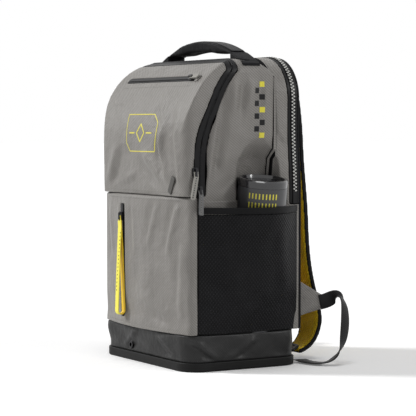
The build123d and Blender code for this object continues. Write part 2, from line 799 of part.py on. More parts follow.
def side_slider(name, y, low, high, clearance, tab, tab_lean=0.0, widths=None, left=False):
    """A slider on the side of the bag with its pull hanging from it, tab_lean degrees outwards."""
    foot_x, slope = side_run(low, high, *(widths or (body_half_width, waist_half_width)))
    lean = radians(slope)
    normal = (cos(lean), 0, -sin(lean))
    foot_x += clearance
    body = slider_body().moved(Plane((foot_x, y, low), x_dir=(0, 1, 0), z_dir=normal).location)
    hinge = (foot_x + bar_height * cos(lean), y, low - bar_height * sin(lean))
    outward = (cos(radians(tab_lean)), 0, sin(radians(tab_lean)))
    pull = pull_tab(*tab).moved(Plane(hinge, x_dir=(0, 1, 0), z_dir=outward).location)
    save(mirror(body, Plane.YZ) if left else body, f"{name}_slider")
    save(mirror(pull, Plane.YZ) if left else pull, f"{name}_pull")


side_slider("main_upper", -96.5, 326.0, 366.0, 0.4, (38.0, 8.0, 14.0), tab_lean=8.0)
side_slider("main_lower", -88.0, 296.0, 310.0, 0.3, (36.0, 8.0, 12.0), tab_lean=22.0)
chain_middle = (chain_front + chain_back) / 2
racket_widths = (racket_half_width, racket_waist)
side_slider(
    "racket", chain_middle, 330.0, 370.0, 1.9, (35.0,), tab_lean=8.0, widths=racket_widths, left=True
)

flap_up = (0, sin(radians(flap_zip_angle)), cos(radians(flap_zip_angle)))
flap_out = (0, -cos(radians(flap_zip_angle)), sin(radians(flap_zip_angle)))
flap_slider_x = flap_zip_half - 12


def above_flap(height):
    return (flap_slider_x, flap_zip_y + height * flap_out[1], flap_zip_z + height * flap_out[2])


save(slider_body().moved(Plane(above_flap(1.3), x_dir=flap_up, z_dir=flap_out).location), "flap_slider")
flap_hinge = Plane(above_flap(1.3 + bar_height), x_dir=flap_up, z_dir=flap_out)
flap_pull = pull_tab(17.0, 9.0).moved(flap_hinge.location)
save(flap_pull, "flap_pull")

pocket_slider_z = 247.0
pocket_slider_y = -124.3
pocket_foot = Plane((pocket_zip_x, pocket_slider_y, pocket_slider_z), x_dir=(1, 0, 0), z_dir=(0, -1, 0))
save(slider_body().moved(pocket_foot.location), "pocket_slider")
puller_length = 160.0
ribbon_half_width = 6.0
loop_end = arm_reach + puller_length
with BuildPart() as puller:
    add(pull_arms())
    with BuildSketch(Plane.YZ):
        with BuildLine():
            Polyline((-20, 1.2), (-7.9, 1.2), (-7.9, -1.1), (-60, -2.4), (7.3 - loop_end, -2.4))
            TangentArc((7.3 - loop_end, -2.4), (7.3 - loop_end, 12.2), tangent=(-1, 0))
            ThreePointArc((7.3 - loop_end, 12.2), (-95, 7.4), (-20, 1.2))
        make_face()
        with BuildLine():
            Polyline((-24, 0), (-60, -0.8), (7.3 - loop_end, -0.8))
            TangentArc((7.3 - loop_end, -0.8), (7.3 - loop_end, 10.6), tangent=(-1, 0))
            ThreePointArc((7.3 - loop_end, 10.6), (-97, 5.8), (-24, 0))
        make_face(mode=Mode.SUBTRACT)
    extrude(amount=ribbon_half_width, both=True)
hinge_y = pocket_slider_y - bar_height
puller_lean = 3.9
hanging = Plane((pocket_zip_x, hinge_y, pocket_slider_z), x_dir=(1, 0, 0), z_dir=(0, -1, 0))
save(puller.part.moved(hanging.location * Location((0, 0, 0), (0, 0, puller_lean))), "pocket_puller")

flap_grip_x = body_half_width - 44  # grip sewn to the lower corner of the flap
with BuildPart() as grip_tab:
    grip_run = (cos(radians(28)), 0, -sin(radians(28)))
    with BuildSketch(Plane((flap_grip_x, front_y - seam, 304), x_dir=grip_run, z_dir=(0, -1, 0))):
        RectangleRounded(12, 30, 2)
    extrude(amount=2)
save(grip_tab.part, "flap_grip")
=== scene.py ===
# %% [markdown]
# # Dressing the racket backpack
#
# The solid model already holds every panel, zip and strap in its place. This script makes the
# soft goods soft, sews and prints them, and lights the bag as a studio would. Lengths are in
# metres with +Z up. -Y is the front with the flap and +X is the side with the tumbler.

# %% Load the frame
import json
from math import cos, pi, radians, sin

import bmesh
import bpy
import numpy as np
from mathutils import Matrix, Vector
from mathutils.bvhtree import BVHTree

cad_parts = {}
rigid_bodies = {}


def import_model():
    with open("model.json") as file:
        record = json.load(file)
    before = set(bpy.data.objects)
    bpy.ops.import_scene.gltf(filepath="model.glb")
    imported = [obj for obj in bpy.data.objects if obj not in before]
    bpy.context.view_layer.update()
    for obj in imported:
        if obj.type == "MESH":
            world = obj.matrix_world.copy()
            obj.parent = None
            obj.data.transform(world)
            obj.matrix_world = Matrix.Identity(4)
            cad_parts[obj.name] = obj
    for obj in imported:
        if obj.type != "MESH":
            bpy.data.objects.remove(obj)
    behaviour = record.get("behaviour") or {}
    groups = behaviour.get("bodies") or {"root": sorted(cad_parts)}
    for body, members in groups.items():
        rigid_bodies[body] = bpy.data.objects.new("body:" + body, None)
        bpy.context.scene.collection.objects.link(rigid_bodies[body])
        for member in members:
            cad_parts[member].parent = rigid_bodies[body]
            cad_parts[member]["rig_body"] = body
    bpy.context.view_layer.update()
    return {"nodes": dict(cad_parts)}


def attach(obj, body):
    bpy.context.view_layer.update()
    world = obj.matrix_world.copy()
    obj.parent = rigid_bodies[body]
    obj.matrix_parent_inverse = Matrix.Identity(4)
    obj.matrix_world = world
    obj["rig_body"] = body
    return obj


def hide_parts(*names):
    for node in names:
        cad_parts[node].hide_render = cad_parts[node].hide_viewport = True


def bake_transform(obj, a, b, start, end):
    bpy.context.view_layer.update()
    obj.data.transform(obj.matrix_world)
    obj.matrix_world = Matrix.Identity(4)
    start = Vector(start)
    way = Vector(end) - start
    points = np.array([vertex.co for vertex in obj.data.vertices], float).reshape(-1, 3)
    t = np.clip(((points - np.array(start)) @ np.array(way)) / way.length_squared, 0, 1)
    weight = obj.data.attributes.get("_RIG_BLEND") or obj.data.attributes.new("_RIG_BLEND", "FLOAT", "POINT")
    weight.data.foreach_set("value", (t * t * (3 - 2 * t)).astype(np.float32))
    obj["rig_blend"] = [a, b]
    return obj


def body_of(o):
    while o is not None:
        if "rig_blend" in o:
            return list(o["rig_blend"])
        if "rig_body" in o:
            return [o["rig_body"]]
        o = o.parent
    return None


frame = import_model()
nodes = frame["nodes"]
MM = 0.001
MATH = "ShaderNodeMath"
print("solid pieces:", len(nodes))

# %% [markdown]
# ## Small helpers for node trees
#
# A hex code says what a colour looks like on a screen, but a renderer adds light in linear
# values, so one function converts it. A second one adds any node at all: it sets the node's
# properties, then sets each input or links it to another node's output.


# %% Colours and nodes
def colour(hex_code):
    """An sRGB hex colour as linear RGBA."""
    parts = [int(hex_code[i : i + 2], 16) / 255 for i in (1, 3, 5)]
    return tuple(c / 12.92 if c <= 0.04045 else ((c + 0.055) / 1.055) ** 2.4 for c in parts) + (1,)


def add_node(tree, kind, inputs=None, **settings):
    """Add a node, set its properties, and set or link its inputs."""
    node = tree.nodes.new(kind)
    for name, value in settings.items():
        setattr(node, name, value)
    for socket, value in (inputs or {}).items():
        if isinstance(value, bpy.types.NodeSocket):
            tree.links.new(value, node.inputs[socket])
        else:
            node.inputs[socket].default_value = value
    return node


# %% [markdown]
# ## Camera
#
# A product shot uses a long lens, so that upright edges stay upright. The bag is seen from its
# front right and a little from above, mostly its pocket side.

# %% Place the camera
camera_data = bpy.data.cameras.new("camera")
camera_data.lens, camera_data.sensor_width = 151.4, 36.0
camera_data.shift_x, camera_data.shift_y = 0.0178, 0.0137
camera = bpy.data.objects.new("camera", camera_data)
bpy.context.scene.collection.objects.link(camera)
camera.location = (2.592, -1.515, 0.404)
aim = Vector((0, 0, 0.25)) - camera.location
camera.rotation_euler = aim.to_track_quat("-Z", "Y").to_euler()
bpy.context.scene.camera = camera
bpy.context.scene.view_settings.view_transform = "Standard"

# %% [markdown]
# ## White studio
#
# Cloth looks right under a plain, even level of light, yet the backdrop has to be pure white.
# So the world is moderate for the light that falls on the bag and white only for rays that are
# seen, mirrored or let through. Distant lamps light the whole floor alike, so no pool of light
# and no horizon shows.

# %% World and lamps
world_light = 0.22
world = bpy.data.worlds.new("studio")
bpy.context.scene.world = world
world.use_nodes = True
sky = world.node_tree
path = add_node(sky, "ShaderNodeLightPath").outputs
seen = {0: path["Is Camera Ray"], 1: path["Is Glossy Ray"]}
seen = add_node(sky, MATH, seen, operation="MAXIMUM").outputs[0]
seen = add_node(sky, MATH, {0: seen, 1: path["Is Transmission Ray"]}, operation="MAXIMUM").outputs[0]
steps = {0: seen, 1: 1 - world_light, 2: world_light}
strength = add_node(sky, MATH, steps, operation="MULTIPLY_ADD").outputs[0]
sky.nodes["Background"].inputs["Color"].default_value = (1, 1, 1, 1)
sky.links.new(strength, sky.nodes["Background"].inputs["Strength"])


def distant_lamp(name, towards, power, spread):
    """A lamp so far away that it lights everything from one direction."""
    light = bpy.data.lights.new(name, "SUN")
    light.energy, light.angle = power, radians(spread)
    lamp = bpy.data.objects.new(name, light)
    bpy.context.scene.collection.objects.link(lamp)
    lamp.rotation_euler = Vector(towards).to_track_quat("Z", "Y").to_euler()


distant_lamp("key", (-0.50, -0.66, 0.58), 2.3, 9)
distant_lamp("side", (0.70, 0.62, 0.45), 0.8, 9)
distant_lamp("top", (0.1, -0.1, 1.0), 0.8, 25)

# %% [markdown]
# ## Patterns
#
# Every pattern runs on the object's own coordinates and is measured in millimetres, so nothing
# has to be unwrapped. A sine wave along a direction is a row of yarns; two rows crossed are a
# weave. Noise gives the slow changes of shade that keep a surface from looking like plastic.


# %% Waves and clouds
def distance_along(tree, direction):
    place = add_node(tree, "ShaderNodeTexCoord").outputs["Object"]
    per_mm = Vector(direction).normalized() / MM
    along = add_node(tree, "ShaderNodeVectorMath", {0: place, 1: per_mm}, operation="DOT_PRODUCT")
    return along.outputs["Value"]


def wave(tree, direction, pitch):
    """Rises and falls between 0 and 1, once in every pitch millimetres."""
    turns = {0: distance_along(tree, direction), 1: 2 * pi / pitch}
    swing = {0: add_node(tree, MATH, turns, operation="MULTIPLY").outputs[0]}
    height = {0: add_node(tree, MATH, swing, operation="SINE").outputs[0], 1: 0.5, 2: 0.5}
    return add_node(tree, MATH, height, operation="MULTIPLY_ADD").outputs[0]


def cloud(tree, size, detail=3.0):
    """Slow, soft variation between 0 and 1 in patches of about size millimetres."""
    place = add_node(tree, "ShaderNodeTexCoord").outputs["Object"]
    inputs = {"Vector": place, "Scale": 1 / (size * MM), "Detail": detail, "Roughness": 0.55}
    return add_node(tree, "ShaderNodeTexNoise", inputs).outputs["Fac"]


def crossed(pitch, one=(1, 1, 1), other=(1, 1, -1)):
    """A pattern maker: two rows of yarns that cross."""
    return lambda tree: add_node(
        tree, MATH, {0: wave(tree, one, pitch), 1: wave(tree, other, pitch)}, operation="MULTIPLY"
    ).outputs[0]


def diagonal(pitch):
    """A pattern maker: the slanting ribs of a twill, broken up a little by the crossing yarns."""
    def pattern(tree):
        ribs = wave(tree, (1, 1, 1.3), pitch)
        floats = {0: wave(tree, (1, 1, -1), pitch), 1: 0.4, 2: 0.6}
        floats = add_node(tree, MATH, floats, operation="MULTIPLY_ADD").outputs[0]
        return add_node(tree, MATH, {0: ribs, 1: floats}, operation="MULTIPLY").outputs[0]

    return pattern


# %% [markdown]
# ## One recipe for a finish
#
# A finish here is two shades mixed by a pattern, a roughness that wanders a little, and a shallow
# relief. Cloth also gets a sheen, from the fibre ends that stand off it, and hardly any mirror
# gloss, since its yarns point every way. Its small crumples are too many to model, so they are a
# second, broader relief. Lacquer gets a coat.


# %% Finish
def finish(
    name, dark, light, rough, pattern=None, depth=0.05, metallic=0.0, sheen=0.0, coat=0.0, patch=30.0,
    gloss=0.5,
    crumple=0.0,
):
    material = bpy.data.materials.new(name)
    material.use_nodes = True
    tree = material.node_tree
    shader = tree.nodes["Principled BSDF"]
    fine = pattern(tree) if pattern else cloud(tree, 3.0)
    slow = cloud(tree, patch)
    slow = add_node(tree, MATH, {0: slow, 1: 0.45}, operation="MULTIPLY").outputs[0]
    shade = add_node(tree, MATH, {0: fine, 1: 0.55, 2: slow}, operation="MULTIPLY_ADD").outputs[0]
    shades = {"Factor": shade, "A": colour(dark), "B": colour(light)}
    mixed = add_node(tree, "ShaderNodeMix", shades, data_type="RGBA")
    tree.links.new(mixed.outputs["Result"], shader.inputs["Base Color"])
    wander = {0: cloud(tree, patch / 4), 1: 0.14, 2: rough - 0.07}
    wander = add_node(tree, MATH, wander, operation="MULTIPLY_ADD").outputs[0]
    tree.links.new(wander, shader.inputs["Roughness"])
    creases = add_node(tree, "ShaderNodeBump", {"Height": cloud(tree, 42.0, 4.0), "Distance": crumple * MM})
    relief_inputs = {"Height": fine, "Distance": depth * MM, "Normal": creases.outputs["Normal"]}
    relief = add_node(tree, "ShaderNodeBump", relief_inputs)
    tree.links.new(relief.outputs["Normal"], shader.inputs["Normal"])
    shader.inputs["Metallic"].default_value = metallic
    shader.inputs["Specular IOR Level"].default_value = gloss
    shader.inputs["Sheen Weight"].default_value = sheen
    shader.inputs["Sheen Roughness"].default_value = 0.4
    shader.inputs["Coat Weight"].default_value = coat
    shader.inputs["Coat Roughness"].default_value = 0.15
    return material


# %% [markdown]
# ## Cloths
#
# The bag is cut from polyester twill with a coating on its back: matt, warm grey, its yarns laid
# on the diagonal. Real yarns are 0.4 mm apart, too fine to see, so they are drawn at 2 mm. The
# band at the foot is the same cloth with a dark rubbery coating, which is smoother. The side
# pockets are a ribbed stretch knit, and the pads a yellow spacer mesh with open cells.

# %% Cloth materials
grey_twill = finish(
    "grey_polyester_twill", "#65625e", "#94918d", 0.47, diagonal(3.0), 0.30, sheen=0.04, patch=70,
    gloss=0.35, crumple=6,
)
coated_twill = finish(
    "coated_dark_twill", "#222222", "#373737", 0.42, crossed(2.6), 0.06, patch=50, gloss=0.2, crumple=5
)
plain_lining = finish("plain_woven_lining", "#1c1c1d", "#2c2c2d", 0.80, crossed(1.8), 0.08, gloss=0.1)
padded_twill = finish(
    "black_padded_twill", "#0f0f10", "#202022", 0.62, crossed(1.8), 0.15, gloss=0.1, crumple=3
)
woven_webbing = finish(
    "black_nylon_webbing", "#0e0e0f", "#2c2c2e", 0.50, crossed(2.4, (1, 1, 2), (1, 1, -2)), 0.3, gloss=0.12
)
elastic_tape = finish("elastic_binding_tape", "#0b0b0c", "#1f1f20", 0.60, crossed(2.0), 0.16, gloss=0.1)
honeycomb = crossed(4.4, (0.3, 0.9, 0.75), (0.3, 0.9, -0.75))
stretch_knit = finish("ribbed_stretch_knit", "#020202", "#28282a", 0.55, honeycomb, 1.0, gloss=0.1)
open_cells = crossed(4.4, (1, 0.2, 1), (1, 0.2, -1))
spacer_mesh = finish("yellow_spacer_mesh", "#c9a412", "#ffdc20", 0.70, open_cells, 0.9)
coated_tape = finish("sealed_zip_tape", "#0d0d0e", "#1b1b1c", 0.42, patch=25, gloss=0.15)

# %% [markdown]
# ## Hard finishes and prints
#
# The base is moulded rubber with a fine grain. Sliders are die-cast and lacquered, pulls are
# moulded plastic, and the tumbler is powder-coated steel with a smoked lid that mirrors the
# studio. Prints lie on the cloth as a thin film of ink, a little glossier than the cloth.

# %% Hard materials
grained_rubber = finish("moulded_base_rubber", "#0d0d0d", "#1c1c1c", 0.50, depth=0.08, gloss=0.15)
lacquered_slider = finish("lacquered_slider_metal", "#202021", "#3a3a3c", 0.32, metallic=0.8)
eyelet_steel = finish("blackened_eyelet_steel", "#1b1b1c", "#3a3a3c", 0.28, metallic=0.9)
grey_pull = finish("grey_moulded_pull", "#77756f", "#918f89", 0.5)
dark_pull = finish("dark_moulded_pull", "#232323", "#3a3a3a", 0.42)
black_acetal = finish("black_acetal_buckle", "#0f0f10", "#1c1c1e", 0.34, gloss=0.3)
powder_coat = finish("powder_coated_steel", "#2a2a2c", "#39393c", 0.34, coat=0.2, patch=60)
smoked_lid = finish("smoked_lid", "#141416", "#2a2a2d", 0.14, coat=0.6)
grey_thread = finish("grey_sewing_thread", "#62605b", "#7d7b76", 0.7)
black_thread = finish("black_sewing_thread", "#0d0d0e", "#202022", 0.65)
dark_tab = finish("dark_moulded_tab", "#3a3937", "#55534f", 0.5, gloss=0.3)
yellow_ink = finish("yellow_ink", "#d2c62e", "#e8df4e", 0.45)
black_ink = finish("gloss_black_ink", "#08080a", "#121214", 0.30, gloss=0.25)
# Pale grains on the black coil: painted highlights where the studio light glints on its glossy loops.
coil_painted_highlight = finish("black_coil_painted_highlight", "#b9b9b4", "#deded9", 0.42)
black_coil = finish("black_nylon_coil", "#0c0c0d", "#1a1a1c", 0.40, gloss=0.2)
pale_yellow_web = finish("pale_yellow_coated_web", "#f0e23c", "#faf26c", 0.5, crossed(1.6), 0.08)
# The same pale yellow web, painted a deeper golden yellow as painted shade for the puller's rear ply.
yellow_web_painted_shade = finish("yellow_coated_web_painted_shade", "#edc400", "#fad824", 0.5, crossed(1.6), 0.08)
white_floor = finish("white_studio_floor", "#ffffff", "#ffffff", 0.8, depth=0.001, patch=900, gloss=0.0)
floor_tree = white_floor.node_tree
seen_floor = add_node(floor_tree, "ShaderNodeLightPath").outputs["Is Camera Ray"]
glow = add_node(floor_tree, MATH, {0: seen_floor, 1: 0.12}, operation="MULTIPLY").outputs[0]
floor_shader = floor_tree.nodes["Principled BSDF"]
floor_shader.inputs["Emission Color"].default_value = (1, 1, 1, 1)
floor_tree.links.new(glow, floor_shader.inputs["Emission Strength"])

# %% [markdown]
# ## Tools for soft pieces
#
# A panel of the solid model is a stiff shell with long thin triangles. To fold it, it is first
# wrapped in an even net of small faces by a voxel remesh, which also rounds its edges as a hem
# is round. Then its points are pushed by a function of where they are, which costs nothing and
# gives the same folds in every run.


# %% Meshes as arrays of points
def add_piece(name, mesh, finishes, body, replaced=()):
    """Link a finished mesh, give it its material, and let it ride on a body."""
    piece = bpy.data.objects.new(name, mesh)
    bpy.context.scene.collection.objects.link(piece)
    mesh.materials.clear()
    for one in finishes if isinstance(finishes, tuple) else (finishes,):
        mesh.materials.append(one)
    if body:
        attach(piece, body)
    if replaced:
        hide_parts(*replaced)
    return piece


def points_of(mesh):
    """The vertices of a mesh in millimetres."""
    flat = np.empty(len(mesh.vertices) * 3)
    mesh.vertices.foreach_get("co", flat)
    return flat.reshape(-1, 3) / MM


def set_points(mesh, points):
    mesh.vertices.foreach_set("co", (np.asarray(points) * MM).ravel())
    mesh.update()


def even_mesh(source, voxel, rounds):
    """A closed, even mesh of the same solid, its edges rounded by some rounds of smoothing."""
    work = bpy.data.objects.new(source.name + "_even", source.copy())
    bpy.context.scene.collection.objects.link(work)
    shell = work.modifiers.new("remesh", "REMESH")
    shell.mode, shell.voxel_size = "VOXEL", voxel * MM
    soften = work.modifiers.new("soften", "SMOOTH")
    soften.factor, soften.iterations = 0.5, rounds
    graph = bpy.context.evaluated_depsgraph_get()
    mesh = bpy.data.meshes.new_from_object(work.evaluated_get(graph))
    bpy.data.objects.remove(work)
    mesh.polygons.foreach_set("use_smooth", [True] * len(mesh.polygons))
    return mesh


def soft_copy(node, finish_of, body, voxel=2.0, rounds=4, push=None):
    """A soft stand-in for one solid: remeshed, rounded, and pushed into folds."""
    mesh = even_mesh(nodes[node].data, voxel, rounds)
    if push:
        points = points_of(mesh)
        set_points(mesh, points + push(points))
    return add_piece(node + "_cloth", mesh, finish_of, body, (node,))


# %% [markdown]
# Folds are built from three simple shapes: a step that eases in and out, a hump round a centre,
# and a ridge along a line. A ridge with a valley beside it reads as a fold of cloth.


# %% Shapes of folds
def ease(x, low, high):
    t = np.clip((x - low) / (high - low), 0, 1)
    return t * t * (3 - 2 * t)


def hump(points, centre, radii):
    """From 0 to 1 round a centre; a radius of None leaves that direction out."""
    total = np.zeros(len(points))
    for axis, (middle, radius) in enumerate(zip(centre, radii)):
        if radius:
            total += ((points[:, axis] - middle) / radius) ** 2
    return np.exp(-total)


def ridge(points, axes, start, end, width, fade=0.25):
    """From 0 to 1 along a line between two points, given in two of the axes."""
    flat = points[:, axes]
    first, run = np.array(start, float), np.array(end, float) - np.array(start, float)
    t = ((flat - first) @ run) / (run @ run)
    off = np.linalg.norm(flat - (first + np.clip(t, 0, 1)[:, None] * run), axis=1)
    ends = np.clip(np.minimum(t, 1 - t) / fade + 0.35, 0, 1)
    return np.exp(-((off / width) ** 2)) * ends


def fold(points, axes, start, end, width, height):
    """A ridge with a shallower valley along its right-hand side."""
    run = np.array(end, float) - np.array(start, float)
    aside = np.array([run[1], -run[0]]) / np.linalg.norm(run) * width * 1.5
    valley = ridge(points, axes, np.array(start) + aside, np.array(end) + aside, width)
    return height * (ridge(points, axes, start, end, width) - 0.7 * valley)


def relaxed(mesh, points, weight, rounds):
    """Let the net of points pull itself smooth where weight is above 0."""
    ends = np.empty(len(mesh.edges) * 2, dtype=int)
    mesh.edges.foreach_get("vertices", ends)
    one, other = ends[0::2], ends[1::2]
    count = np.bincount(ends, minlength=len(points))[:, None]
    for _ in range(rounds):
        total = np.stack(
            [
                np.bincount(one, points[other, k], len(points))
                + np.bincount(other, points[one, k], len(points))
                for k in range(3)
            ],
            axis=1,
        )
        points = points + weight[:, None] * 0.6 * (total / count - points)
    return points


# %% [markdown]
# Padding is swollen by a short cloth simulation with a light pressure inside. The part of the
# pad that is sewn down is pinned, and no point may move further than a few millimetres, so the
# pad keeps its place.


# %% Swelling a pad
def swollen(piece, cap, pinned, pressure=4.0, frames=20):
    before = points_of(piece.data)
    cloth = piece.modifiers.new("cloth", "CLOTH")
    cloth.settings.use_pressure = True
    cloth.settings.uniform_pressure_force = pressure
    cloth.settings.effector_weights.gravity = 0
    cloth.settings.quality = 4
    group = piece.vertex_groups.new(name="sewn")
    group.add([int(i) for i in np.nonzero(pinned(before))[0]], 1.0, "REPLACE")
    cloth.settings.vertex_group_mass = "sewn"
    for step in range(1, frames + 1):
        bpy.context.scene.frame_set(step)
    graph = bpy.context.evaluated_depsgraph_get()
    after = points_of(piece.evaluated_get(graph).to_mesh())
    piece.evaluated_get(graph).to_mesh_clear()
    piece.modifiers.remove(cloth)
    bpy.context.scene.frame_set(1)
    move = after - before
    length = np.linalg.norm(move, axis=1, keepdims=True)
    set_points(piece.data, before + move * np.minimum(1, cap / np.maximum(length, 1e-6)))
    return piece


# %% [markdown]
# ## Tools for trim
#
# Trim is laid on the finished cloth. A ray dropped on the cloth finds where a point of the route
# lies and which way the cloth faces there. An outline is then extruded from station to station
# along the route: a round one makes a cord, a flat one a tape, a ribbon or a line of ink.


# %% Routes on the cloth
def surface_of(*pieces):
    vertices, faces = [], []
    for piece in pieces:
        first = len(vertices)
        vertices += [v.co.copy() for v in piece.data.vertices]
        faces += [[first + i for i in p.vertices] for p in piece.data.polygons]
    return BVHTree.FromPolygons(vertices, faces)


def evenly(line, pitch):
    """Points at an even pitch along a line, all in millimetres."""
    line = np.array([list(p) for p in line], float)
    travel = np.concatenate([[0], np.cumsum(np.linalg.norm(np.diff(line, axis=0), axis=1))])
    count = max(2, int(round(travel[-1] / pitch)) + 1)
    stations = np.linspace(0, travel[-1], count)
    return [Vector([np.interp(s, travel, line[:, k]) for k in range(3)]) for s in stations]


def laid_on(surface, points, towards, lift=0.2, pitch=3.0):
    """A route dropped onto the cloth along a direction; gives places and the cloth's normals."""
    places, normals = [], []
    heading = Vector(towards).normalized()
    for point in evenly(points, pitch):
        hit, normal, _, _ = surface.ray_cast(point * MM, heading)
        if hit is None:
            continue
        normal = -normal if normal.dot(heading) > 0 else normal
        places.append(hit / MM + normal * lift)
        normals.append(normal)
    return places, normals


# %% Extruding an outline along a route
def round_outline(radius, sides=8):
    return [(radius * cos(2 * pi * k / sides), radius * sin(2 * pi * k / sides)) for k in range(sides)]


def flat_outline(width, thickness):
    half, rim = width / 2, thickness / 2
    upper = [(half, rim * 0.5), (half * 0.9, rim), (-half * 0.9, rim), (-half, rim * 0.5)]
    return upper + [(-x, -y) for x, y in upper]


def station(places, normals, index):
    """The frame that stands across the route at one of its points."""
    ahead = places[min(index + 1, len(places) - 1)]
    behind = places[max(index - 1, 0)]
    heading = (ahead - behind).normalized()
    across = heading.cross(normals[index]).normalized()
    up = across.cross(heading)
    turn = Matrix((across, up, heading)).transposed().to_4x4()
    return Matrix.Translation(places[index] * MM) @ turn


def swept(name, outline, places, normals, finish_of, body):
    """Extrude an outline along a route that lies on cloth."""
    grid = bmesh.new()
    stops = [station(places, normals, i) for i in range(len(places))]
    ring = [grid.verts.new(stops[0] @ (Vector((x, y, 0)) * MM)) for x, y in outline]
    edges = list(grid.faces.new(ring).edges)
    for here, ahead in zip(stops, stops[1:]):
        made = bmesh.ops.extrude_edge_only(grid, edges=edges)["geom"]
        moved = [part for part in made if isinstance(part, bmesh.types.BMVert)]
        inside = set(moved)
        edges = [
            part for part in made if isinstance(part, bmesh.types.BMEdge) and inside.issuperset(part.verts)
        ]
        bmesh.ops.transform(grid, matrix=ahead @ here.inverted(), verts=moved)
    bmesh.ops.edgeloop_fill(grid, edges=edges)
    return finished(name, grid, finish_of, body)


def finished(name, grid, finish_of, body, smooth=True):
    """Turn a bmesh into a piece with its faces outwards."""
    bmesh.ops.recalc_face_normals(grid, faces=grid.faces)
    for face in grid.faces:
        face.smooth = smooth
    mesh = bpy.data.meshes.new(name)
    grid.to_mesh(mesh)
    grid.free()
    return add_piece(name, mesh, finish_of, body, ())


def stitches(name, places, normals, finish_of, body, pitch=3.4, length=2.3, radius=0.36):
    """A row of sewn stitches: small grains of thread, end to end."""
    grid = bmesh.new()
    spots = evenly(places, pitch)
    known = np.array([list(p) for p in places])
    for i in range(len(spots) - 1):
        middle = (spots[i] + spots[i + 1]) / 2
        nearest = int(np.argmin(np.linalg.norm(known - np.array(middle), axis=1)))
        frame_here = station([spots[i], middle, spots[i + 1]], [normals[nearest]] * 3, 1)
        size = Matrix.Diagonal((radius * MM, radius * MM, length / 2 * MM, 1))
        bmesh.ops.create_uvsphere(grid, u_segments=6, v_segments=3, radius=1, matrix=frame_here @ size)
    return finished(name, grid, finish_of, body)


# %% [markdown]
# ## Pieces that keep their shape
#
# Moulded and cast pieces are right as they came, so they only get a finish. So do the linings
# and boards, which the outer cloth hides.


# %% Finish the stiff pieces
def painted(material, *names):
    for name in names:
        nodes[name].data.materials.clear()
        nodes[name].data.materials.append(material)


painted(grained_rubber, "base")
painted(
    plain_lining, "main_back_wall", "main_floor", "main_front_wall", "racket_front_wall", "laptop_sleeve"
)
for wall in (nodes["main_back_wall"].data, nodes["racket_front_wall"].data):
    wall.materials.append(grey_twill)
    for face in wall.polygons:
        if abs(face.normal.y) < 0.98:
            face.material_index = 1
painted(padded_twill, "base_board", "back_board")
painted(
    lacquered_slider, "main_upper_slider", "main_lower_slider", "racket_slider", "flap_slider", "pocket_slider"
)
painted(grey_pull, "main_upper_pull", "flap_pull")
painted(dark_pull, "main_lower_pull", "racket_pull")
painted(black_acetal, "strap_buckle_right", "strap_buckle_left")
painted(eyelet_steel, "vent_eyelet")
painted(coated_tape, "flap_zip_tape", "pocket_zip_tape")
painted(black_coil, "flap_zip_chain", "pocket_zip_chain")
painted(smoked_lid, "tumbler_lid")

# %% [markdown]
# ## Folds of the panels
#
# A backpack that stands on its own hangs from its stiff top edge and from its seams. The flap
# pillows between its seams and pulls into long slanting folds towards its lower corner. The
# sides have upright folds that fan out from the shoulder. The small pocket gathers beside its
# zip, which does not stretch.


# %% Fold functions
def flap_folds(p):
    front = ease(-p[:, 1], 60, 112)
    depth = 3.0 * hump(p, (0, 0, 390), (105, None, 70))
    depth += fold(p, [0, 2], (56, 454), (94, 298), 10, 5.6)
    depth += fold(p, [0, 2], (86, 448), (74, 340), 9, 3.6)
    depth += fold(p, [0, 2], (10, 360), (86, 298), 12, 4.2)
    depth += fold(p, [0, 2], (116, 410), (128, 296), 7, 2.6)
    depth += fold(p, [0, 2], (-122, 296), (-80, 372), 12, 4.0)
    depth += fold(p, [0, 2], (-100, 294), (-14, 322), 8, 2.4)
    depth += fold(p, [0, 2], (-118, 440), (-66, 452), 9, 1.8)
    depth += 0.8 * np.sin(p[:, 0] / 17 + p[:, 2] / 31) * ease(-p[:, 2], -335, -300)
    depth += 0.5 * np.sin(p[:, 0] / 29 - p[:, 2] / 19)
    clear_of_hinge = ease(p[:, 2], 292, 318)
    return np.outer(depth * front * clear_of_hinge, (0, -1, 0))


def side_folds(p):
    inside = ease(p[:, 2], 292, 330) * ease(-p[:, 2], -494, -462) * ease(np.abs(p[:, 0]), 100, 136)
    depth = fold(p, [1, 2], (-56, 426), (-74, 300), 10, 7.0)
    depth += fold(p, [1, 2], (-20, 474), (-46, 306), 11, 7.5)
    depth += fold(p, [1, 2], (10, 480), (-14, 350), 9, 5.5)
    depth += fold(p, [1, 2], (38, 476), (32, 340), 7, 3.2)
    depth += fold(p, [1, 2], (-34, 392), (10, 372), 7, 2.2)
    depth += fold(p, [1, 2], (-52, 352), (-24, 316), 6, 2.4)
    depth += 0.8 * np.sin(p[:, 1] / 9 + p[:, 2] / 37)
    depth -= 3.0 * hump(p, (0, 26, 330), (None, 44, 44))
    side = np.sign(p[:, 0])
    return np.stack([side * depth * inside, 0 * side, 0 * side], axis=1)


def top_folds(p):
    flat = ease(-np.abs(p[:, 0]), -72, -40)
    return np.outer((0.8 * np.sin(p[:, 0] / 13 + p[:, 1] / 21) - 0.6) * flat, (0, 0, 1))


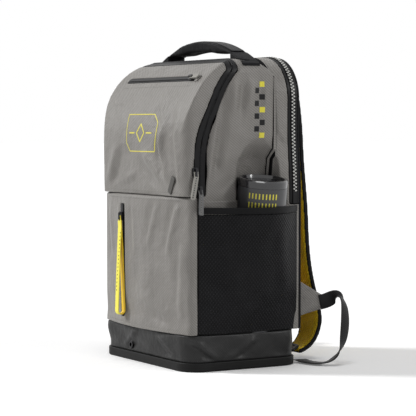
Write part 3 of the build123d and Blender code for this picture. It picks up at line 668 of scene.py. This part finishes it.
def pocket_folds(p):
    front = ease(-p[:, 1], 100, 112)
    inside = ease(p[:, 2], 62, 85) * ease(-p[:, 2], -284, -262)
    depth = fold(p, [0, 2], (-41, 262), (-35, 90), 5, 2.2) + fold(p, [0, 2], (-75, 90), (-73, 262), 4, 1.6)
    depth += 2.6 * hump(p, (40, 0, 150), (80, None, 70)) - 2.4 * ease(-p[:, 2], -120, -70)
    depth += 0.8 * np.sin(p[:, 0] / 15 + 0.8 * np.sin(p[:, 2] / 33)) * ease(p[:, 0], -30, 10)
    depth += fold(p, [0, 2], (122, 276), (94, 190), 8, 3.2) + fold(p, [0, 2], (134, 214), (126, 90), 8, 2.2)
    depth += fold(p, [0, 2], (66, 278), (40, 200), 9, 2.4) + fold(p, [0, 2], (-14, 276), (-4, 190), 7, 1.6)
    depth += fold(p, [0, 2], (20, 120), (96, 84), 9, 1.8) + fold(p, [0, 2], (-118, 262), (-100, 180), 8, 1.8)
    clear_of_zip = 1 - 0.85 * np.exp(-(((p[:, 0] + 56) / 11) ** 4))
    return np.outer(depth * front * inside * clear_of_zip, (0, -1, 0))


def gusset_folds(p):
    side = np.sign(p[:, 0]) * ease(np.abs(p[:, 0]), 120, 142)
    band = ease(p[:, 1], 62, 68) * ease(-p[:, 1], -86, -80) * ease(p[:, 2], 90, 130)
    depth = 1.5 * np.sin(p[:, 2] / 17) * np.sin(p[:, 2] / 41 + 1)
    depth = depth + fold(p, [1, 2], (66, 395), (82, 375), 5, 1.2)
    return np.stack([side * band * depth, 0 * side, 0 * side], axis=1)


def skirt_folds(p):
    out = p * np.array([1 / 150, 1 / 110, 0])
    length = np.maximum(np.linalg.norm(out, axis=1, keepdims=True), 1e-6)
    band = ease(p[:, 2], 16, 26) * ease(-p[:, 2], -60, -50)
    depth = 0.9 * np.sin(p[:, 0] / 16 + p[:, 1] / 13 + p[:, 2] / 9)
    depth += fold(p, [1, 2], (-100, 54), (-56, 20), 6, 4.0) * (p[:, 0] > 100)
    depth += fold(p, [1, 2], (-30, 20), (16, 52), 6, 2.6) * (p[:, 0] > 100)
    depth += fold(p, [0, 2], (56, 54), (108, 20), 7, 3.2) * (p[:, 1] < -80)
    depth += fold(p, [0, 2], (-70, 22), (-20, 52), 7, 2.4) * (p[:, 1] < -80)
    flush = 4.5 * ease(p[:, 2], 18, 56) * (np.abs(p[:, 1]) < 112) * ease(-p[:, 1], -98, -80)
    return out / length * (depth * band + flush)[:, None]


def mesh_folds(p):
    side = np.sign(p[:, 0])
    drawn_in = 5.0 * ease(-p[:, 2], -130, -62) * ease(np.abs(p[:, 0]), 146, 151)
    middle = ease(p[:, 1], -92, -60) * ease(-p[:, 1], -98, -70)
    depth = fold(p, [1, 2], (-60, 240), (-30, 110), 16, 2.4) + fold(p, [1, 2], (44, 236), (70, 110), 15, 2.0)
    return np.stack([side * (depth * middle - drawn_in), 0 * side, 0 * side], axis=1)


def handle_folds(p):
    middle = ease(-np.abs(p[:, 0]), -96, -50)
    below = ease(-p[:, 2], -536, -524)
    wide = 0.16 * (p[:, 1] - 12) * middle
    return np.stack([0 * wide, wide, middle * (0.8 - 5.0 * below)], axis=1)


# %% [markdown]
# Each row of the table is one cut of cloth: its finish, how fine its net is in millimetres, how
# far its edges are rounded, and its folds.

# %% Cut and fold the cloth
cuts = {
    "front_flap": (grey_twill, 2.0, 5, flap_folds, "grey_cloth"),
    "side_panel_right": (grey_twill, 2.2, 6, side_folds, "grey_cloth"),
    "side_panel_left": (grey_twill, 2.2, 6, side_folds, "grey_cloth"),
    "top_panel": (grey_twill, 2.2, 4, top_folds, "grey_cloth"),
    "front_pocket": (grey_twill, 1.7, 3, pocket_folds, "grey_cloth"),
    "racket_gusset": (grey_twill, 1.9, 3, gusset_folds, "grey_cloth"),
    "base_skirt": (coated_twill, 1.9, 3, skirt_folds, "coated_cloth"),
    "slip_pocket_right": (grey_twill, 1.3, 2, None, "grey_cloth"),
    "slip_pocket_left": (grey_twill, 1.3, 2, None, "grey_cloth"),
    "mesh_pocket_right": (stretch_knit, 1.4, 3, mesh_folds, "black_mesh"),
    "mesh_pocket_left": (stretch_knit, 1.4, 3, mesh_folds, "black_mesh"),
    "mesh_binding_right": (elastic_tape, 1.5, 2, None, "binding"),
    "mesh_binding_left": (elastic_tape, 1.5, 2, None, "binding"),
    "webbing_tab_right": (grey_twill, 1.4, 2, None, "grey_cloth"),
    "webbing_tab_left": (grey_twill, 1.4, 2, None, "grey_cloth"),
    "main_zip_tape_bag": (coated_tape, 1.0, 2, None, "zip_tape"),
    "main_zip_tape_flap": (coated_tape, 1.0, 2, None, "zip_tape"),
    "racket_zip_tape": (coated_tape, 1.0, 2, None, "zip_tape"),
    "handle_strip": (woven_webbing, 1.0, 2, None, "webbing"),
    "handle_patches": (padded_twill, 1.4, 3, None, "black_cloth"),
    "flap_grip": (dark_tab, 0.8, 2, None, "pull_grey"),
    "strap_yoke": (padded_twill, 1.4, 3, None, "black_cloth"),
}
sewn = {}
for node, (cloth_finish, voxel, rounds, push, slot_name) in cuts.items():
    body = body_of(nodes[node])[0]
    sewn[node] = soft_copy(node, cloth_finish, body, voxel, rounds, push)
print("cuts of cloth:", len(sewn))

# %% [markdown]
# The side panel is pressed in where the tumbler leans on it. Cloth under padding would bridge
# that hollow with a soft rim, so the net is let loose there and then held off the tumbler.

# %% Soften the hollow round the tumbler
tumbler_foot = np.array([124.6, 26.0, 63.6])
tumbler_axis = np.array([sin(radians(8)), 0, cos(radians(8))])
side = sewn["side_panel_right"]
points = points_of(side.data)
loose = ease(points[:, 0], 92, 110) * ease(points[:, 2], 290, 312) * ease(-points[:, 2], -440, -400)
loose *= ease(points[:, 1], -54, -30) * ease(-points[:, 1], -54, -46)
points = relaxed(side.data, points, loose, 45)
from_foot = points - tumbler_foot
height = from_foot @ tumbler_axis
radial = from_foot - height[:, None] * tumbler_axis
reach = np.linalg.norm(radial, axis=1)
short = np.where((height < 282) & (loose > 0), np.clip(43.4 - reach, 0, None), 0)
set_points(side.data, points + radial / reach[:, None] * short[:, None])
print("pushed off the tumbler:", int((short > 0).sum()))

# %% [markdown]
# ## Pads, handle and straps
#
# Foam fills these until the cloth over it is tight. The simulation swells the pads and the
# handle by a few millimetres, most in the middle and nothing along the seams; the straps are only
# remeshed and rounded.

# %% Swell the pads
for node in ("back_pads", "lumbar_pad"):
    pad = soft_copy(node, spacer_mesh, "bag", 4.0, 4, None)
    swollen(pad, 3.0, lambda p: p[:, 1] < 111.5)
grip = soft_copy("handle_grip", padded_twill, "handle", 2.4, 4, handle_folds)
swollen(grip, 2.0, lambda p: np.abs(p[:, 0]) > 92, 3.0)
for hand in ("right", "left"):
    cover = soft_copy(f"strap_cover_{hand}", padded_twill, f"strap_{hand}", 1.6, 2, None)
    foam = soft_copy(f"strap_mesh_{hand}", spacer_mesh, f"strap_{hand}", 3.0, 3, None)

# %% [markdown]
# The lower webbing runs from the tab on the bag down to the buckle on the strap, and hangs in a
# loose loop between them. It is flat nylon web, 25 mm wide and 1.6 mm thick. Each station below
# is a point of its middle line with the direction of its width. When the strap swings, one end
# follows the bag and the other the strap, and the web bends between them.

# %% Webbing that bends
webbing_stations = [
    ((150.5, 145.0, 103), (0.0, 0.0, 1.0)),
    ((155.0, 156.6, 104), (0.0, 0.0, 1.0)),
    ((159.0, 162.3, 109), (-0.35, -0.10, 0.93)),
    ((164.0, 166.0, 115), (-0.75, -0.10, 0.66)),
    ((171.0, 170.0, 119), (-0.95, 0.25, 0.10)),
    ((178.0, 173.0, 114), (-0.75, 0.65, -0.10)),
    ((184.0, 173.5, 98), (-0.50, 0.86, 0.0)),
    ((188.5, 171.5, 70), (-0.35, 0.93, 0.05)),
    ((190.0, 167.0, 42), (-0.40, 0.90, 0.10)),
    ((191.0, 157.0, 19), (-0.75, 0.60, 0.25)),
    ((189.0, 143.0, 7), (-0.93, 0.35, 0.0)),
    ((180.0, 132.0, 3.2), (-0.50, 0.86, 0.0)),
    ((150.0, 121.0, 3.0), (-0.28, 0.96, 0.0)),
    ((122.0, 124.5, 4.0), (0.0, 1.0, 0.0)),
]


def webbing_route(stations, hand, count=90, rounds=30):
    """Places and face normals along a web, with its corners rounded off."""
    values = np.array([[*place, *width] for place, width in stations], float)
    values[:, [0, 3]] *= hand
    travel = np.concatenate([[0], np.cumsum(np.linalg.norm(np.diff(values[:, :3], axis=0), axis=1))])
    marks = np.linspace(0, travel[-1], count)
    fine = np.stack([np.interp(marks, travel, values[:, k]) for k in range(6)], axis=1)
    for _ in range(rounds):
        fine[1:-1] += 0.5 * ((fine[:-2] + fine[2:]) / 2 - fine[1:-1])
    heading = np.gradient(fine[:, :3], axis=0)
    normals = np.cross(fine[:, 3:], heading)
    length = np.linalg.norm(np.diff(fine[:, :3], axis=0), axis=1).sum()
    return [Vector(p) for p in fine[:, :3]], [Vector(n).normalized() for n in normals], length


for hand, sign in (("right", 1), ("left", -1)):
    places, normals, length = webbing_route(webbing_stations, sign)
    print("webbing", hand, "is", round(length), "mm long")
    web = swept(
        f"strap_webbing_{hand}_web", flat_outline(25, 1.6), places, normals, woven_webbing, None
    )
    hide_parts(f"strap_webbing_{hand}")
    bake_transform(web, "bag", f"strap_{hand}", (sign * 0.192, 0.130, 0.050), (sign * 0.148, 0.130, 0.006))

# %% [markdown]
# ## Tumbler
#
# The cup is powder-coated up to a band of bare dark steel below the lid. It carries two level rows
# of plain upright dashes, printed on the curve of the wall.

# %% Rim and print of the tumbler
rim_steel = finish("dark_rim_steel", "#4a4a4c", "#78787a", 0.18, metallic=0.9)
cup = nodes["tumbler_cup"].data
painted(powder_coat, "tumbler_cup")
cup.materials.append(rim_steel)
for face in cup.polygons:
    middle = np.mean([cup.vertices[i].co for i in face.vertices], axis=0) / MM
    if (middle - tumbler_foot) @ tumbler_axis > 240:
        face.material_index = 1

upright = Matrix.Translation(Vector(tumbler_foot) * MM) @ Matrix.Rotation(radians(8), 4, "Y")
print_rows = bmesh.new()
for height in (214, 229):
    for column in range(9):
        around = Matrix.Rotation(radians(-30 + (column - 4) * 8), 4, "Z")
        dash = Matrix.Translation((41.15 * MM, 0, height * MM))
        dash = dash @ Matrix.Diagonal((0.3 * MM, 2 * MM, 9 * MM, 1))
        bmesh.ops.create_cube(print_rows, size=1, matrix=upright @ around @ dash)
finished("tumbler_print", print_rows, yellow_ink, "tumbler", smooth=False)

# %% [markdown]
# ## Routes round the bag
#
# Seams and zips run up one side, over the rounded shoulders and down the other side. One
# function makes such a route and drops each point straight onto the cloth, seen from inside the
# bag outwards, whatever its height.


# %% Up, over and down
def over_the_top(surface, depth_at, top, lift, hand=1, corner=28.0, half_width=150.0):
    """depth_at gives y for a height; returns the half of the route on one hand, foot to middle."""
    places, normals = [], []
    shoulder_x, shoulder_z = half_width - corner, top - corner
    route = [((170, depth_at(z), z), (-1, 0, 0)) for z in np.arange(290, shoulder_z, 3.0)]
    for angle in np.arange(0, 91, 6.0):
        away = (cos(radians(angle)), sin(radians(angle)))
        start = (shoulder_x + 48 * away[0], depth_at(shoulder_z + 28 * away[1]), shoulder_z + 48 * away[1])
        route.append((start, (-away[0], 0, -away[1])))
    route += [((x, depth_at(top), top + 20), (0, 0, -1)) for x in np.arange(shoulder_x - 3, -0.1, -3.0)]
    for start, towards in route:
        heading = Vector((towards[0] * hand, 0, towards[2]))
        hit, normal, _, distance = surface.ray_cast(
            Vector((start[0] * hand, start[1], start[2])) * MM, heading
        )
        if hit is not None and distance < 45 * MM:
            normal = -normal if normal.dot(heading) > 0 else normal
            places.append(hit / MM + normal * lift)
            normals.append(normal)
    return places, normals


# %% [markdown]
# ## Main zip
#
# A sealed zip shows no teeth from outside: the two tapes meet over the coil in a soft double
# ridge. One ridge belongs to the flap and the other to the bag.

# %% Ridges where the tapes meet
zip_heights = [285, 350, 379, 408, 432, 456, 474, 492, 512]
zip_depths = [-87, -87, -83, -74, -64.5, -52, -40.5, -27, -20]
tapes = surface_of(sewn["main_zip_tape_bag"], sewn["main_zip_tape_flap"])
for hand, label in ((1, "right"), (-1, "left")):
    for owner, aside in (("bag", 0.95), ("flap", -0.95)):
        line = lambda z, aside=aside: float(np.interp(z, zip_heights, zip_depths)) + aside
        places, normals = over_the_top(tapes, line, 512, 0.1, hand)
        swept(f"main_zip_ridge_{owner}_{label}", round_outline(0.75, 6), places, normals, black_coil, owner)

# %% Seam stitches along the main zip
skin = surface_of(*[sewn[n] for n in ("front_flap", "side_panel_right", "side_panel_left", "top_panel")])
for hand, label in ((1, "right"), (-1, "left")):
    for owner, aside in (("bag", 14.0), ("flap", -14.5)):
        line = lambda z, aside=aside: float(np.interp(z, zip_heights, zip_depths)) + aside
        places, normals = over_the_top(skin, line, 512, 0.05, hand)
        if len(places) > 3:
            stitches(f"main_zip_seam_{owner}_{label}", places, normals, grey_thread, owner)

# %% [markdown]
# ## Racket zip
#
# This zip shows its coil, and is meant to be seen. The coil is glossy black; its loops are drawn
# as small pale grains laid across the chain, in turn on either side, as painted highlights where
# the studio light glints on them.


# %% Loops of the racket coil
def coil(name, places, normals, finish_of, body, start, pitch, across, offset):
    """Every second loop of a coil, as flattened grains across the route."""
    grid = bmesh.new()
    size = Matrix.Diagonal((across / 2 * MM, 0.9 * MM, pitch * 0.52 * MM, 1))
    spots = evenly(places, pitch)
    known = np.array([list(p) for p in places])
    for i in range(start + 1, len(spots) - 1, 2):
        nearest = int(np.argmin(np.linalg.norm(known - np.array(spots[i]), axis=1)))
        here = station(spots[i - 1 : i + 2], [normals[nearest]] * 3, 1)
        shift = Matrix.Translation((offset * MM, 0, 0))
        bmesh.ops.create_uvsphere(grid, u_segments=6, v_segments=4, radius=1, matrix=here @ shift @ size)
    return finished(name, grid, finish_of, body)


racket_chain = nodes["racket_zip_chain"]
chain_points = points_of(racket_chain.data)
chain_y = float((chain_points[:, 1].min() + chain_points[:, 1].max()) / 2)
racket_line = lambda z: chain_y
chain_surface = surface_of(racket_chain)
for hand, label in ((1, "right"), (-1, "left")):
    places, normals = over_the_top(chain_surface, racket_line, 516, 0.1, hand)
    print("racket coil", label, "stations", len(places), "at y", round(chain_y, 1))
    # Both rows of pale grains are painted highlights on the glossy black coil, which is painted black below.
    coil(f"racket_coil_front_{label}", places, normals, coil_painted_highlight, "bag", 0, 2.9, 4.4, 1.7)
    coil(f"racket_coil_rear_{label}", places, normals, coil_painted_highlight, "bag", 1, 2.9, 4.4, -1.7)
painted(black_coil, "racket_zip_chain")

# %% [markdown]
# ## Prints and seams on the flap
#
# The badge is a thin printed outline with a few plain marks inside, and lies on the finished
# folds. A row of stitches runs above the flap's lower edge, and another below its zip.

# %% Badge
flap_skin = surface_of(sewn["front_flap"])


def front_line(name, route, width, ink, owner="flap", surface=flap_skin, thickness=0.25):
    """A printed or taped line on the front; route holds x and z pairs."""
    places, normals = laid_on(surface, [(x, -200, z) for x, z in route], (0, 1, 0), thickness / 2, 1.5)
    if len(places) > 2:
        swept(name, flat_outline(width, thickness), places, normals, ink, owner)


badge = [(-48, 372), (-36, 358), (50, 358), (50, 406), (38, 420), (-48, 420), (-48, 371)]
front_line("badge_outline", badge, 1.5, yellow_ink)
front_line("badge_diamond", [(0, 404), (13, 389), (0, 374), (-13, 389), (0.5, 404.5)], 2.2, yellow_ink)
front_line("badge_bar_left", [(-38, 389), (-20, 389)], 2.2, yellow_ink)
front_line("badge_bar_right", [(20, 389), (39, 389)], 2.2, yellow_ink)

# %% [markdown]
# The zip across the flap ends under a small garage, a folded patch of the bag's cloth that hides
# the end of the tape. Past its slider the closed tape shows as a dark strip.

# %% End of the flap's zip
tape_points = points_of(nodes["flap_zip_tape"].data)
tape_end = float(tape_points[:, 0].max())
tape_z = float((tape_points[:, 2].max() + tape_points[:, 2].min()) / 2)
print("flap zip runs to x", round(tape_end, 1), "at z", round(tape_z, 1))
front_line("flap_zip_strip", [(tape_end - 3, tape_z), (126, tape_z)], 9.0, coated_tape, thickness=0.9)
front_line("flap_zip_garage", [(116, tape_z), (129, tape_z)], 13.0, grey_twill, thickness=2.0)

# %% Stitches on the front
pocket_skin = surface_of(sewn["front_pocket"])


def front_stitches(name, surface, route, owner):
    places, normals = laid_on(surface, [(x, -200, z) for x, z in route], (0, 1, 0), 0.05)
    if len(places) > 2:
        stitches(name, places, normals, grey_thread, owner)


front_stitches("flap_hem_stitches", flap_skin, [(-126, 292), (126, 292)], "flap")
front_stitches("flap_zip_stitches_low", flap_skin, [(-118, 466), (118, 466)], "flap")
front_stitches("pocket_top_stitches", pocket_skin, [(-120, 279), (124, 279)], "bag")
front_stitches("pocket_zip_stitches_left", pocket_skin, [(-66, 270), (-66, 74)], "bag")
front_stitches("pocket_zip_stitches_right", pocket_skin, [(-46, 270), (-46, 74)], "bag")
front_stitches("pocket_foot_stitches", pocket_skin, [(-120, 67), (124, 67)], "bag")

# %% [markdown]
# ## Puller of the pocket zip
#
# The puller is a loop of pale yellow coated web, hung from the slider. Its rear ply lies in
# shadow and is painted a deeper golden yellow, a painted shade. Its front ply carries a row of
# small dark ticks as its print.

# %% Puller with its rear ply in painted shade
puller_mesh = even_mesh(nodes["pocket_puller"].data, 0.7, 2)
puller = add_piece(
    "pocket_puller_web", puller_mesh, (pale_yellow_web, yellow_web_painted_shade), "pocket_zip_puller", ("pocket_puller",),
)
puller_points = points_of(puller_mesh)
levels = np.arange(puller_points[:, 2].min(), puller_points[:, 2].max() + 4, 4.0)
level_of = np.digitize(puller_points[:, 2], levels)
fronts = {k: puller_points[level_of == k, 1].min() for k in np.unique(level_of)}
rears = {k: puller_points[level_of == k, 1].max() for k in np.unique(level_of)}
# Faces behind the front ply get the deeper yellow, a painted shade.
for face in puller_mesh.polygons:
    middle = np.mean([puller_points[i] for i in face.vertices], axis=0)
    level = int(np.digitize(middle[2], levels))
    if level in fronts and (middle[1] - fronts[level]) > 0.3 * (rears[level] - fronts[level]):
        face.material_index = 1
tick_x = float(puller_points[:, 0].mean())
places, normals = laid_on(surface_of(puller), [(tick_x, -200, 118), (tick_x, -200, 222)], (0, 1, 0), 0.05)
stitches("puller_ticks", places, normals, black_thread, "pocket_zip_puller", 6.5, 3.2, 0.7)

# %% [markdown]
# The two pulls of the main zip carry a few raised dark ticks as a grip.

# %% Ticks on the pulls
for node, body, ink in (
    ("main_upper_pull", "upper_pull", black_thread),
    ("main_lower_pull", "lower_pull", grey_thread),
):
    pull_points = points_of(nodes[node].data)
    high, low = pull_points[:, 2].max(), pull_points[:, 2].min()
    ends = [pull_points[np.abs(pull_points[:, 2] - z) < 4].mean(axis=0) for z in (high - 10, low + 5)]
    places, normals = laid_on(surface_of(nodes[node]), [(220, e[1], e[2]) for e in ends], (-1, 0, 0), 0.0)
    if len(places) > 2:
        stitches(f"{node}_ticks", places, normals, ink, body, 4.2, 2.2, 1.1)

# %% [markdown]
# ## Marks on the side
#
# A checkered band of glossy squares stands beside the rear seam, every fourth one yellow.

# %% Side marks
side_skin = surface_of(sewn["side_panel_right"])


def side_line(name, route, width, ink, thickness=0.25):
    """A printed line on the right side; route holds y and z pairs."""
    places, normals = laid_on(side_skin, [(220, y, z) for y, z in route], (-1, 0, 0), thickness / 2, 1.5)
    if len(places) > 2:
        swept(name, flat_outline(width, thickness), places, normals, ink, "bag")


for i in range(9):
    y, z = 25 - 10 * (i % 2), 385.5 + 10.5 * i
    side_line(f"side_check_{i}", [(y, z), (y + 9, z)], 9.0, black_ink if i % 4 else yellow_ink)
for i, y in enumerate((50.0, 52.6)):
    places, normals = laid_on(side_skin, [(220, y, 300), (220, y, 480)], (-1, 0, 0), 0.05)
    stitches(f"side_seam_stitches_{i}", places, normals, grey_thread, "bag")

# %% [markdown]
# ## Floor
#
# A wide white floor takes the shadow.

# %% Floor
floor_grid = bmesh.new()
bmesh.ops.create_grid(floor_grid, x_segments=1, y_segments=1, size=30)
floor = finished("floor", floor_grid, white_floor, None, smooth=False)
